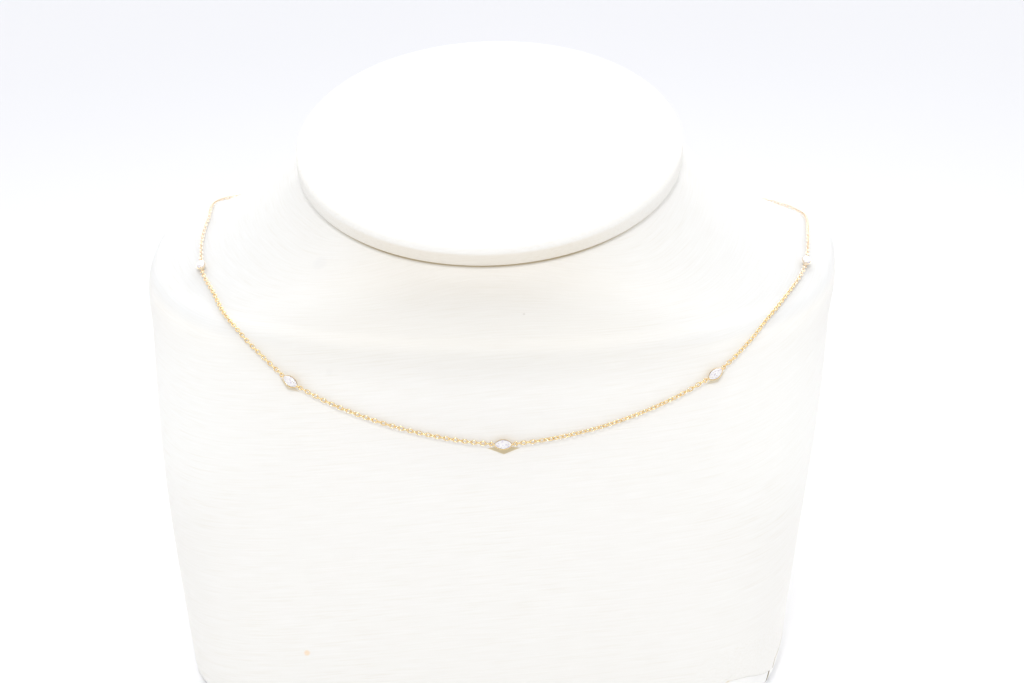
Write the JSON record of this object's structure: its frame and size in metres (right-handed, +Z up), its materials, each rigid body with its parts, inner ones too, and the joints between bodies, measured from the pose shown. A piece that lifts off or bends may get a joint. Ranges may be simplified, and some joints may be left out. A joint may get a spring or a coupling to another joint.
{
  "type": "station necklace on a neck bust",
  "caption": "Fine gold cable-chain necklace with spaced marquise stones in claw settings, lying on a low covered neck bust with a slanting oval cap.",
  "frame": {"origin": "centre of the bust's flat base, at the middle of the whole part's outline", "axes": "+Z up along the bust's upright axis, -Y the way the chest faces, +X to the viewer's right"},
  "size_m": [0.165, 0.1208, 0.1239],
  "materials": {
    "covering": "matte",
    "gold": "polished",
    "stone": "polished"
  },
  "bodies": {
    "root": {"bust_body": "covering", "neck_cap": "covering", "clasp": "gold", "chain_back_left": "gold", "chain_side_left": "gold", "chain_front_left": "gold", "chain_front_right": "gold", "chain_side_right": "gold", "chain_back_right": "gold", "setting_far_left": "gold", "setting_left": "gold", "setting_centre": "gold", "setting_right": "gold", "setting_far_right": "gold", "stone_far_left": "stone", "stone_left": "stone", "stone_centre": "stone", "stone_right": "stone", "stone_far_right": "stone"}
  },
  "joints": []
}
